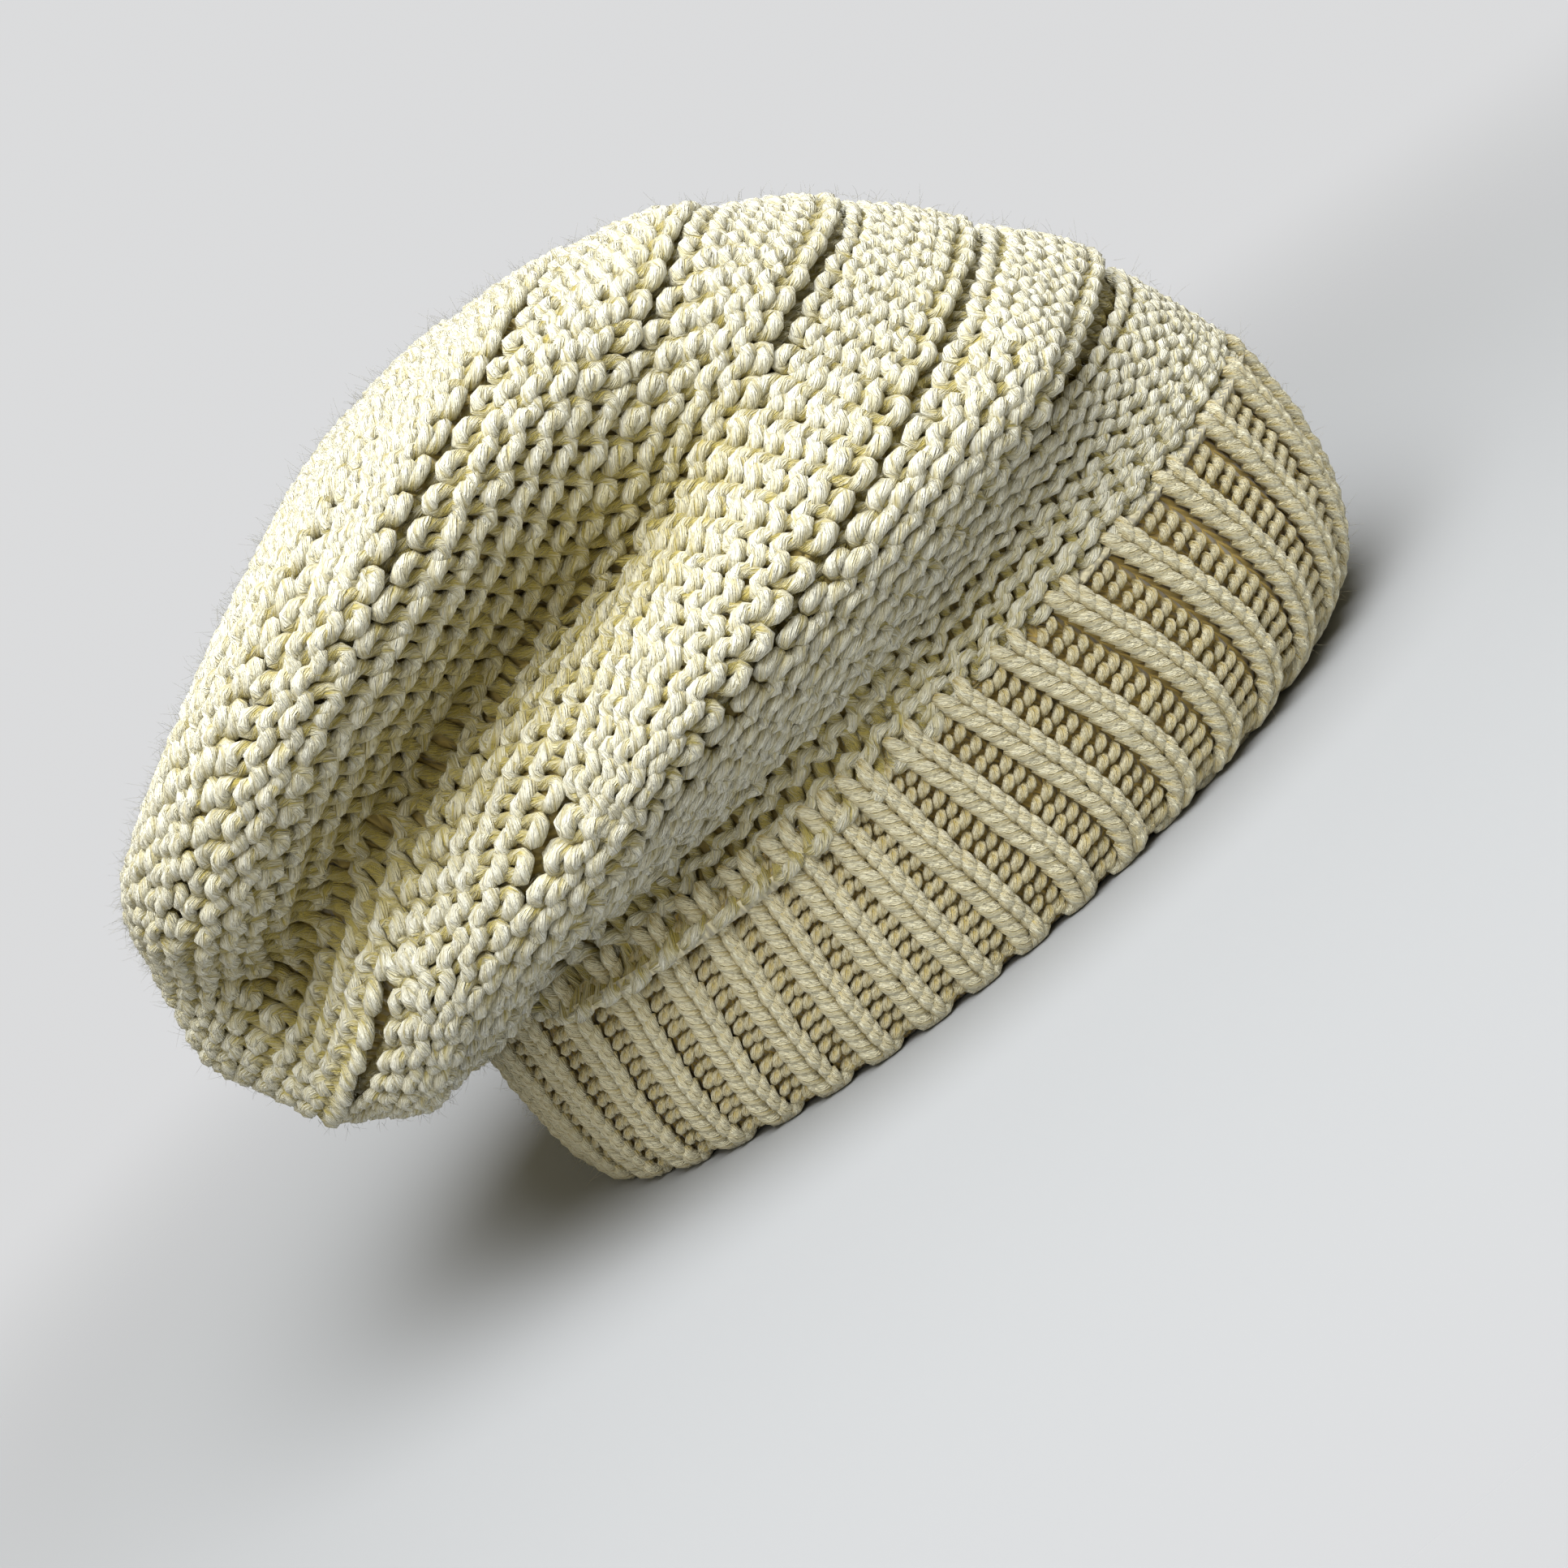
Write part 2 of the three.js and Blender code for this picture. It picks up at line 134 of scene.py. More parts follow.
def plain_crown(ring, turn):
    ring, turn = np.broadcast_arrays(np.asarray(ring, float), np.asarray(turn, float))
    back, up, out, lift, dip, half, bow = WELT_EDGES.T
    rise = CROWN_HEIGHT - BAND_NAPE_HEIGHT
    top_x = smooth_run(np.r_[FRONT_X, FRONT_X - back * CROWN_LENGTH], ring)
    top_z = smooth_run(np.r_[BAND_FRONT_HEIGHT + SEAM_GAP,
                             BAND_FRONT_HEIGHT + up * (CROWN_HEIGHT - BAND_FRONT_HEIGHT)], ring)
    under_x = smooth_run(np.r_[NAPE_X, NAPE_X - out * NAPE_OVERHANG], ring)
    under_z = smooth_run(np.r_[BAND_NAPE_HEIGHT + SEAM_GAP,
                               BAND_NAPE_HEIGHT + lift * rise - dip * OVERHANG_DIP], ring)
    wide = smooth_run(np.r_[RIM_WIDTH / 2 + SIDE_FLARE, half * CROWN_WIDTH / 2], ring)
    bowed = smooth_run(np.r_[0, bow * CROWN_HEIGHT], ring)
    ringed = np.stack((
        (top_x + under_x) / 2 + (top_x - under_x) / 2 * np.cos(turn),
        wide * np.sin(turn),
        (top_z + under_z) / 2 + (top_z - under_z) / 2 * np.cos(turn) + bowed * np.sin(turn)**2,
    ), -1)
    seam = band_point(turn, BAND_TOP, 0) + np.array((0, 0, SEAM_GAP))
    near_band = 1 - smooth_step(0, 1, ring)[..., None]
    return ringed * (1 - near_band) + seam * near_band


def crown_outward(along, upward):
    across = np.cross(along, upward)
    return across / np.maximum(np.linalg.norm(across, axis=-1, keepdims=True), 1e-9)


def fold_push(points):
    push = np.zeros(points.shape[:-1])
    for side, start, via, end, reach, amount in FOLDS:
        t = np.linspace(0, 1, 31)[:, None]
        start, via, end = np.array(start), np.array(via), np.array(end)
        pull = 2 * via - (start + end) / 2
        line = (1 - t)**2 * start + 2 * t * (1 - t) * pull + t**2 * end
        # A valley deepens from its start and opens out at its end, while a roll is full all along
        firm = np.ones(len(t))
        if amount < 0:
            risen = VALLEY_RISE * smooth_step(*VALLEY_OPENS, t[:, 0])
            firm = smooth_step(*VALLEY_DEEPENS, t[:, 0]) * (1 - risen)
        near = np.zeros(points.shape[:-1])
        for (back, up), full in zip(line, firm):
            line_x, line_z = FRONT_X - back * CROWN_LENGTH, up * CROWN_HEIGHT
            away = np.hypot(line_x - points[..., 0], line_z - points[..., 2])
            near = np.maximum(near, full * np.exp(-(away / (reach * CROWN_HEIGHT))**2))
        sideways = smooth_step(0, FOLD_FADE * CROWN_WIDTH, points[..., 1] * side)
        push += amount * FOLD_DEPTH * sideways * near
    return push


RING_CELLS, TURN_CELLS = 24, 720


def crown_chart():
    """The folded crown on a fine grid: place (3), outward (3) and push of the folds."""
    rings = np.linspace(0, LAST_RING, LAST_RING * RING_CELLS + 1)[:, None]
    turns = np.arange(TURN_CELLS)[None, :] * FULL_TURN / TURN_CELLS
    plain = plain_crown(rings, turns)
    around = lambda grid: np.roll(grid, -1, 1) - np.roll(grid, 1, 1)
    plain_out = crown_outward(around(plain), np.gradient(plain, axis=0))
    plain_out[-6:] = plain_out[-7]
    push = fold_push(plain)
    settle = smooth_step(0, 1.2, rings) * (1 - smooth_step(LAST_RING - 1, LAST_RING, rings))
    folded = plain + plain_out * (push * settle)[..., None]
    upward = np.gradient(folded, axis=0)
    outward = crown_outward(around(folded), upward)
    outward[-4:] = outward[-5]
    chart = np.concatenate((folded, outward, push[..., None]), -1)
    return np.concatenate((chart, chart[:, :1]), 1)


CHART = crown_chart()
# Rings this close to the tip are read as one
TIP_HOLE = 0.02
# Millimetres up the crown from the band, along each column of the chart
climb_steps = np.linalg.norm(np.diff(CHART[..., :3], axis=0), axis=-1)
CLIMB = np.r_[np.zeros((1, TURN_CELLS + 1)), np.cumsum(climb_steps, 0)]
# The columns follow one another in one long run of keys, this far apart
COLUMN_GAP = 5000.0
CLIMB_KEYS = (CLIMB + np.arange(TURN_CELLS + 1) * COLUMN_GAP).T.ravel()
RING_MARKS = np.tile(np.arange(len(CLIMB)) / RING_CELLS, TURN_CELLS + 1)


def read_chart(chart, ring, turn):
    """The chart's value at ring numbers and turns, between its four nearest marks."""
    r = np.clip(ring, 0, LAST_RING - TIP_HOLE) * RING_CELLS
    t = np.mod(turn, FULL_TURN) / FULL_TURN * TURN_CELLS
    i, j = np.floor(r).astype(int), np.minimum(np.floor(t).astype(int), TURN_CELLS - 1)
    a, b = r - i, t - j
    if chart.ndim == 3:
        a, b = a[..., None], b[..., None]
    return ((chart[i, j] * (1 - b) + chart[i, j + 1] * b) * (1 - a)
            + (chart[i + 1, j] * (1 - b) + chart[i + 1, j + 1] * b) * a)


def on_crown(ring, turn):
    """Place, outward direction and fold push at ring numbers and turns."""
    found = read_chart(CHART, ring, turn)
    outward = found[..., 3:6] / np.linalg.norm(found[..., 3:6], axis=-1, keepdims=True)
    return found[..., :3], outward, found[..., 6]


def climb_at(ring, turn):
    return read_chart(CLIMB, ring, turn)


def ring_at(climb, turn):
    """The ring number so many millimetres up the crown from the band."""
    t = np.mod(turn, FULL_TURN) / FULL_TURN * TURN_CELLS
    j = np.minimum(np.floor(t), TURN_CELLS - 1)
    up = np.clip(climb, 0, COLUMN_GAP / 2)
    return (np.interp(up + j * COLUMN_GAP, CLIMB_KEYS, RING_MARKS) * (1 - t + j)
            + np.interp(up + (j + 1) * COLUMN_GAP, CLIMB_KEYS, RING_MARKS) * (t - j))


# Notches open from one of these cosines of the turn to the next, and from one push of a roll to the next,
# and close from one push of a valley to the next
TOP_OPENS, TOP_OPENING = (0.46, 0.72), 0.9
ROLL_OPENS, ROLL_OPENING = (0.12, 0.42), 0.85
VALLEY_CLOSES = (0.10, 0.40)


def notch_opening(welt, turn):
    """How open the notch above a welt is: over the top and on the crests of rolls, but not in folds."""
    push = on_crown(welt + 0.9, turn)[2] / FOLD_DEPTH
    over_top = TOP_OPENING * smooth_step(*TOP_OPENS, np.cos(turn)) * NOTCHES[welt, 0]
    on_roll = ROLL_OPENING * smooth_step(*ROLL_OPENS, push)
    return np.maximum(over_top, on_roll) * (1 - smooth_step(*VALLEY_CLOSES, -push))


def notch_share(welt, turn):
    """The share of a welt that its notch takes."""
    welt_length = (CROWN_LENGTH + CROWN_HEIGHT - BAND_FRONT_HEIGHT) / LAST_RING
    return NOTCH_WIDTH / welt_length * notch_opening(welt, turn)


def notch_floor(welt, turn):
    return WELT_DROP + (NOTCH_DEPTH - WELT_DROP) * NOTCHES[welt, 1] * notch_opening(welt, turn)


def welt_sink(welt, share, turn):
    """How far the knit lies below the welt's raised lower edge."""
    q = np.clip(share / (1 - notch_share(welt, turn)), 0, 1)
    fade = 1 - smooth_step(LAST_RING - 1, LAST_RING, welt + share)
    return WELT_DROP * (0.35 * q + 0.65 * q * q) * (0.2 + 0.8 * notch_opening(welt, turn)) * fade


def noise_bump(tree, vector, scale, detail, strength, distance, normal=None):
    noise = tree.nodes.new("ShaderNodeTexNoise")
    noise.inputs["Scale"].default_value = scale
    noise.inputs["Detail"].default_value = detail
    bump = tree.nodes.new("ShaderNodeBump")
    bump.inputs["Strength"].default_value = strength
    bump.inputs["Distance"].default_value = distance
    tree.links.new(vector, noise.inputs["Vector"])
    tree.links.new(noise.outputs["Fac"], bump.inputs["Height"])
    if normal is not None:
        tree.links.new(normal, bump.inputs["Normal"])
    return bump.outputs["Normal"]


def maths(tree, operation, *terms):
    """A Math node fed with numbers and sockets. Gives its output."""
    node = tree.nodes.new("ShaderNodeMath")
    node.operation = operation
    for socket, term in zip(node.inputs, terms):
        if isinstance(term, (int, float)):
            socket.default_value = term
        else:
            tree.links.new(term, socket)
    return node.outputs[0]


def lining_knit(name, colour, stitches, rows):
    """Matte knitted cloth: small V stitches in columns, from the piece's own UV map. In a pale colour it is
    the lining seen from inside; in a deep colour on the outer side of a cloth wall it is painted shade.
    """
    material = bpy.data.materials.new(name)
    material.use_nodes = True
    tree = material.node_tree
    shader = tree.nodes["Principled BSDF"]
    shader.inputs["Base Color"].default_value = (*colour, 1)
    shader.inputs["Roughness"].default_value = 0.95
    shader.inputs["Sheen Weight"].default_value = 0.3
    uv = tree.nodes.new("ShaderNodeUVMap")
    uv.uv_map = "UVMap"
    split = tree.nodes.new("ShaderNodeSeparateXYZ")
    tree.links.new(uv.outputs["UV"], split.inputs["Vector"])
    column = maths(tree, "MULTIPLY", split.outputs["X"], stitches)
    wale = maths(tree, "PINGPONG", column, 0.5)
    course = maths(tree, "MULTIPLY_ADD", split.outputs["Y"], rows, wale)
    leg = maths(tree, "ABSOLUTE", maths(tree, "SINE", maths(tree, "MULTIPLY", course, np.pi)))
    middle = maths(tree, "SINE", maths(tree, "MULTIPLY", wale, FULL_TURN))
    height = maths(tree, "MULTIPLY", leg, middle)
    bump = tree.nodes.new("ShaderNodeBump")
    bump.inputs["Strength"].default_value = 0.9
    bump.inputs["Distance"].default_value = 0.002
    tree.links.new(height, bump.inputs["Height"])
    place = tree.nodes.new("ShaderNodeTexCoord")
    normal = noise_bump(tree, place.outputs["Object"], 900, 3, 0.3, 0.0005, bump.outputs["Normal"])
    tree.links.new(normal, shader.inputs["Normal"])
    return material


def cloth_sheet(name, across, upward, place, thickness):
    """A bmesh grid laid round the hat by place(u, v), closed along its back seam, then given its wall."""
    bm = bmesh.new()
    bm.loops.layers.uv.new("UVMap")
    bmesh.ops.create_grid(bm, x_segments=across, y_segments=upward, size=1, calc_uvs=True)
    where = np.array([v.co[:2] for v in bm.verts]) / 2 + 0.5
    for vert, point in zip(bm.verts, (place(where[:, 0], where[:, 1]) + HAT_PLACE) / 1000):
        vert.co = point
    bmesh.ops.remove_doubles(bm, verts=bm.verts, dist=1e-5)
    bmesh.ops.recalc_face_normals(bm, faces=bm.faces)
    mesh = bpy.data.meshes.new(name)
    bm.to_mesh(mesh)
    bm.free()
    mesh.shade_smooth()
    cloth = bpy.data.objects.new(name, mesh)
    bpy.context.scene.collection.objects.link(cloth)
    wall = cloth.modifiers.new("wall", "SOLIDIFY")
    wall.thickness = thickness / 1000
    wall.offset = -1
    wall.material_offset = 1
    wall.material_offset_rim = 1
    return cloth


CLOTH_DEPTH, CLOTH_WALL = 4.7, 3.2
CLOTH_CELLS_ROUND, CLOTH_CELLS_UP = 150, 9 * LAST_RING


def crown_cloth_place(u, v):
    turn = u * FULL_TURN
    ring = v * (LAST_RING - 0.05)
    welt = np.minimum(np.floor(ring).astype(int), LAST_RING - 1)
    point, outward, _ = on_crown(ring, turn)
    share = ring - welt
    width = np.maximum(notch_share(welt, turn), 0.02)
    in_notch = smooth_step(1 - 1.3 * width, 1 - 0.9 * width, share) * notch_opening(welt, turn)
    sink = welt_sink(welt, share, turn) + in_notch * notch_floor(welt, turn)
    return point - outward * (CLOTH_DEPTH + sink)[..., None]


crown_cloth = cloth_sheet("crown_cloth", CLOTH_CELLS_ROUND, CLOTH_CELLS_UP, crown_cloth_place, CLOTH_WALL)
# Painted shade: the outer side of the crown cloth, seen in the gaps between the stitches, is coloured deep
# olive for the shade that falls there; the inner side is the lining
painted_shade_knit = lining_knit("yarn_painted_shade", (0.50, 0.39, 0.13), 130, 90)
crown_lining_knit = lining_knit("crown_lining_knit", (0.74, 0.68, 0.47), 130, 90)
crown_cloth.data.materials.append(painted_shade_knit)
crown_cloth.data.materials.append(crown_lining_knit)
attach(crown_cloth, "root")

# Welts
# Rounds of bulky plied yarn, knitted with the purl side out. Each welt is four rounds or more, whose loops
# hang in one another, with a raised lower edge that stands over the sunk round in the notch below it.
# The yarn's radius, the width of a stitch and the height of a round
YARN, STITCH, COURSE = 2.0, 9.0, 5.6
FEWEST_ROUNDS, MOST_STITCHES = 4, 80
# A loop sways by a share of a stitch, bulges by millimetres and reaches by a share of a round's height
LOOP_SWAY, LOOP_BULGE, LOOP_REACH, LOOP_SKEW = 0.16, 0.9, 0.72, 0.35
SHORTEST_REACH, LONGEST_REACH = 2.3, 4.5
LOOP_SAMPLES, LOOP_SIDES, LINE_MARKS = 12, 6, 1081
# Rounds closer to one another than the first lie hidden in the fold, and past the second they all show
CLOSEST_ROUNDS, FREE_ROUNDS = 3.1, 4.1
# How deep a sunk round lies in its notch, how narrow a notch may be, and how far the seam round is sunk
NOTCH_ROUND_DEPTH, NARROWEST_NOTCH = 1.2, 2.6
SEAM_ROUND_SINK, SEAM_ROUND_HEIGHT = 1.6, 6.0
unevenness = np.random.default_rng(11)


def yarn_profile(sides):
    profile = bpy.data.curves.new("yarn_profile", "CURVE")
    ring = profile.splines.new("POLY")
    ring.points.add(sides - 1)
    angle = np.arange(sides) * FULL_TURN / sides
    corners = np.stack((np.cos(angle), -np.sin(angle), 0 * angle, 1 + 0 * angle), 1)
    ring.points.foreach_set("co", corners.ravel())
    ring.use_cyclic_u = True
    return bpy.data.objects.new("yarn_profile", profile)


def make_yarn(name, strands, sides, material):
    """One mesh from strands of yarn. Each is its points and radii in mm, whether it closes, how many
    stitches long it is, which spaces the twist of the plies, and how much painted shade its points get for
    lying deep in the fabric."""
    profile = yarn_profile(sides)
    curve = bpy.data.curves.new(name, "CURVE")
    curve.dimensions = "3D"
    curve.bevel_mode = "OBJECT"
    curve.bevel_object = profile
    curve.use_fill_caps = True
    for points, radii, closed, _, _ in strands:
        spline = curve.splines.new("POLY")
        spline.points.add(len(points) - 1)
        place = np.concatenate(((points + HAT_PLACE) / 1000, np.ones((len(points), 1))), 1)
        spline.points.foreach_set("co", place.ravel())
        spline.points.foreach_set("radius", np.asarray(radii) / 1000)
        spline.use_cyclic_u = closed
        spline.use_smooth = True
    laid = bpy.data.objects.new(name + "_laid", curve)
    bpy.context.scene.collection.objects.link(laid)
    mesh = bpy.data.meshes.new_from_object(laid.evaluated_get(bpy.context.evaluated_depsgraph_get()))
    mesh.name = name
    corners = np.zeros(len(mesh.polygons), int)
    mesh.polygons.foreach_get("loop_total", corners)
    spans = [((len(p) if closed else len(p) - 1) * sides, stitches) for p, _, closed, stitches, _ in strands]
    along = np.ones(len(corners))
    along[corners == 4] = np.concatenate([np.full(count, float(stitches)) for count, stitches in spans])
    uv = np.zeros(len(mesh.loops) * 2)
    mesh.uv_layers[0].data.foreach_get("uv", uv)
    uv = uv.reshape(-1, 2)
    uv[:, 0] *= np.repeat(along, corners)
    mesh.uv_layers[0].data.foreach_set("uv", uv.ravel())
    # The painted shade of each point, which the yarn material turns into a deeper colour
    depth = mesh.attributes.new("painted_shade_depth", "FLOAT", "POINT")
    # The mesh lists the end caps first, from the last strand back to the first
    caps = [np.repeat(shade[[-1, 0]], sides) for _, _, closed, _, shade in reversed(strands) if not closed]
    depth.data.foreach_set("value", np.concatenate(caps + [np.repeat(shade, sides) for *_, shade in strands]))
    mesh.shade_smooth()
    mesh.materials.clear()
    mesh.materials.append(material)
    bpy.data.objects.remove(laid)
    bpy.data.curves.remove(curve)
    bpy.data.objects.remove(profile)
    yarn = bpy.data.objects.new(name, mesh)
    bpy.context.scene.collection.objects.link(yarn)
    return yarn


def plied_twist_group():
    """Twisted plies with fine fibres along them. Gives the height and a mask of the grooves between plies."""
    group = bpy.data.node_groups.new("plied_twist", "ShaderNodeTree")
    group.interface.new_socket("UV", in_out="INPUT", socket_type="NodeSocketVector")
    group.interface.new_socket("Twist", in_out="INPUT", socket_type="NodeSocketFloat")
    group.interface.new_socket("Plies", in_out="INPUT", socket_type="NodeSocketFloat")
    for name in ("Height", "Groove", "Fibres"):
        group.interface.new_socket(name, in_out="OUTPUT", socket_type="NodeSocketFloat")
    given = group.nodes.new("NodeGroupInput")
    result = group.nodes.new("NodeGroupOutput")
    split = group.nodes.new("ShaderNodeSeparateXYZ")
    group.links.new(given.outputs["UV"], split.inputs["Vector"])
    wound = maths(group, "MULTIPLY", split.outputs["X"], given.outputs["Twist"])
    phase = maths(group, "MULTIPLY_ADD", split.outputs["Y"], given.outputs["Plies"], wound)
    ply = maths(group, "ABSOLUTE", maths(group, "SINE", maths(group, "MULTIPLY", phase, np.pi)))
    # Fibres lie along the plies, so their noise is finer across a ply than along it
    fibre_place = group.nodes.new("ShaderNodeCombineXYZ")
    group.links.new(maths(group, "MULTIPLY", phase, 1.8), fibre_place.inputs["X"])
    group.links.new(maths(group, "MULTIPLY", split.outputs["X"], 1.5), fibre_place.inputs["Y"])
    fibres = group.nodes.new("ShaderNodeTexNoise")
    fibres.inputs["Scale"].default_value = 5.0
    fibres.inputs["Detail"].default_value = 2.0
    group.links.new(fibre_place.outputs["Vector"], fibres.inputs["Vector"])
    ply_height = maths(group, "MULTIPLY", maths(group, "POWER", ply, 0.6), 0.55)
    height = maths(group, "MULTIPLY_ADD", fibres.outputs["Fac"], 1.5, ply_height)
    group.links.new(height, result.inputs["Height"])
    groove = maths(group, "SUBTRACT", 1.0, maths(group, "POWER", ply, 0.5))
    group.links.new(groove, result.inputs["Groove"])
    group.links.new(fibres.outputs["Fac"], result.inputs["Fibres"])
    return group


plied_twist = plied_twist_group()


def ivory_yarn(name, light, shade_and_patch_colour, twist, sheen):
    """Matte wool-blend yarn: three pale plies, painted shade in the grooves between them and where the yarn
    lies deep, and a soft bloom of fibre ends. twist is how many grooves a stitch of yarn winds past."""
    material = bpy.data.materials.new(name)
    material.use_nodes = True
    tree = material.node_tree
    shader = tree.nodes["Principled BSDF"]
    shader.inputs["Roughness"].default_value = 0.72
    shader.inputs["Sheen Weight"].default_value = sheen
    shader.inputs["Sheen Roughness"].default_value = 0.45
    shader.inputs["Sheen Tint"].default_value = (1.0, 0.97, 0.86, 1)
    shader.inputs["Specular IOR Level"].default_value = 0.35
    uv = tree.nodes.new("ShaderNodeUVMap")
    uv.uv_map = "UVMap"
    plies = tree.nodes.new("ShaderNodeGroup")
    plies.node_tree = plied_twist
    plies.inputs["Twist"].default_value = twist
    plies.inputs["Plies"].default_value = 3.0
    tree.links.new(uv.outputs["UV"], plies.inputs["UV"])
    place = tree.nodes.new("ShaderNodeTexCoord")
    patches = tree.nodes.new("ShaderNodeTexNoise")
    patches.inputs["Scale"].default_value = 60.0
    patches.inputs["Detail"].default_value = 2.0
    tree.links.new(place.outputs["Object"], patches.inputs["Vector"])
    in_fabric = tree.nodes.new("ShaderNodeAttribute")
    in_fabric.attribute_name = "painted_shade_depth"
    streaks = tree.nodes.new("ShaderNodeMapRange")
    streaks.inputs["From Min"].default_value = 0.35
    streaks.inputs["From Max"].default_value = 0.65
    streaks.inputs["To Min"].default_value = 0.24
    streaks.inputs["To Max"].default_value = -0.26
    tree.links.new(plies.outputs["Fibres"], streaks.inputs["Value"])
    # The deeper colour is painted shade low in the fabric, in folds and in the grooves between plies, and it
    # also shows in random patches and between fibres
    uneven = maths(tree, "MULTIPLY_ADD", patches.outputs["Fac"], 0.15, in_fabric.outputs["Fac"])
    streaked = maths(tree, "ADD", uneven, streaks.outputs["Result"])
    depth = maths(tree, "MULTIPLY_ADD", plies.outputs["Groove"], 0.55, streaked)
    colour = tree.nodes.new("ShaderNodeMix")
    colour.data_type = "RGBA"
    colour.inputs["A"].default_value = (*light, 1)
    colour.inputs["B"].default_value = (*shade_and_patch_colour, 1)
    tree.links.new(depth, colour.inputs["Factor"])
    tree.links.new(colour.outputs["Result"], shader.inputs["Base Color"])
    bump = tree.nodes.new("ShaderNodeBump")
    bump.inputs["Strength"].default_value = 0.9
    bump.inputs["Distance"].default_value = 0.0015
    tree.links.new(plies.outputs["Height"], bump.inputs["Height"])
    normal = noise_bump(tree, place.outputs["Object"], 1500, 3, 0.45, 0.0005, bump.outputs["Normal"])
    tree.links.new(normal, shader.inputs["Normal"])
    return material


# The second colour is painted shade in grooves and deep places, and the tone of random patches
crown_yarn = ivory_yarn("crown_yarn", (0.95, 0.945, 0.83), (0.52, 0.43, 0.11), 5.5, 0.45)


def rows_that_show(spacing, row):
    """Where the cloth is squeezed only some rounds show. Gives how far this one does, and how far the
    shown rounds are apart."""
    shown = [smooth_step(CLOSEST_ROUNDS, FREE_ROUNDS, spacing * factor) for factor in (1, 2, 2.8)]
    level = 0 if row % 2 else 1 if row % 4 else 2 if row % 8 else 3
    apart = spacing * (2 - shown[0]) * (2 - shown[1]) * (2 - shown[2])
    return (shown[level] if level < 3 else np.ones_like(spacing)), apart


def strand_pieces(points, radii, shade, shows, stitches):
    """The stretches of a round that show, as strands. A round that shows all the way stays closed."""
    if shows.all():
        return [(points, radii, True, stitches, shade)]
    if not shows.any():
        return []
    start = int(np.argmin(shows))
    points, radii, shade, shows = (np.roll(a, -start, 0) for a in (points, radii, shade, shows))
    edges = np.flatnonzero(np.diff(np.r_[0, shows.astype(int), 0]))
    return [(points[a:b], radii[a:b], False, stitches * (b - a) / len(points), shade[a:b])
            for a, b in zip(edges[::2], edges[1::2]) if b - a > 3]


def welt_reach(welt, turn):
    """Where a welt starts and its rounds end, and how wide its notch is, in millimetres up the crown."""
    low, high = climb_at(welt, turn), climb_at(welt + 1, turn)
    notch = climb_at(welt + 1 - notch_share(welt, turn), turn)
    return low, notch + 0.25 * (high - notch), high - notch


# Where the first and the last round of a welt lie, as shares of its height, when the notches are open
FIRST_ROUND, LAST_ROUND = 0.155, 0.84


def round_line(welt, row, rounds, turn):
    """Millimetres up the crown to a round. The rounds draw together where the notch is open."""
    low, end, _ = welt_reach(welt, turn)
    opened = notch_opening(welt, turn)
    below = notch_opening(welt - 1, turn) if welt else 0.5
    first = 0.5 / rounds + (FIRST_ROUND - 0.5 / rounds) * below
    last = 1 - 0.5 / rounds + (LAST_ROUND - 1 + 0.5 / rounds) * opened
    return low + (end - low) * (first + (last - first) * row / (rounds - 1))


def notch_line(welt, turn):
    return climb_at(welt + 1, turn) - 0.42 * welt_reach(welt, turn)[2]


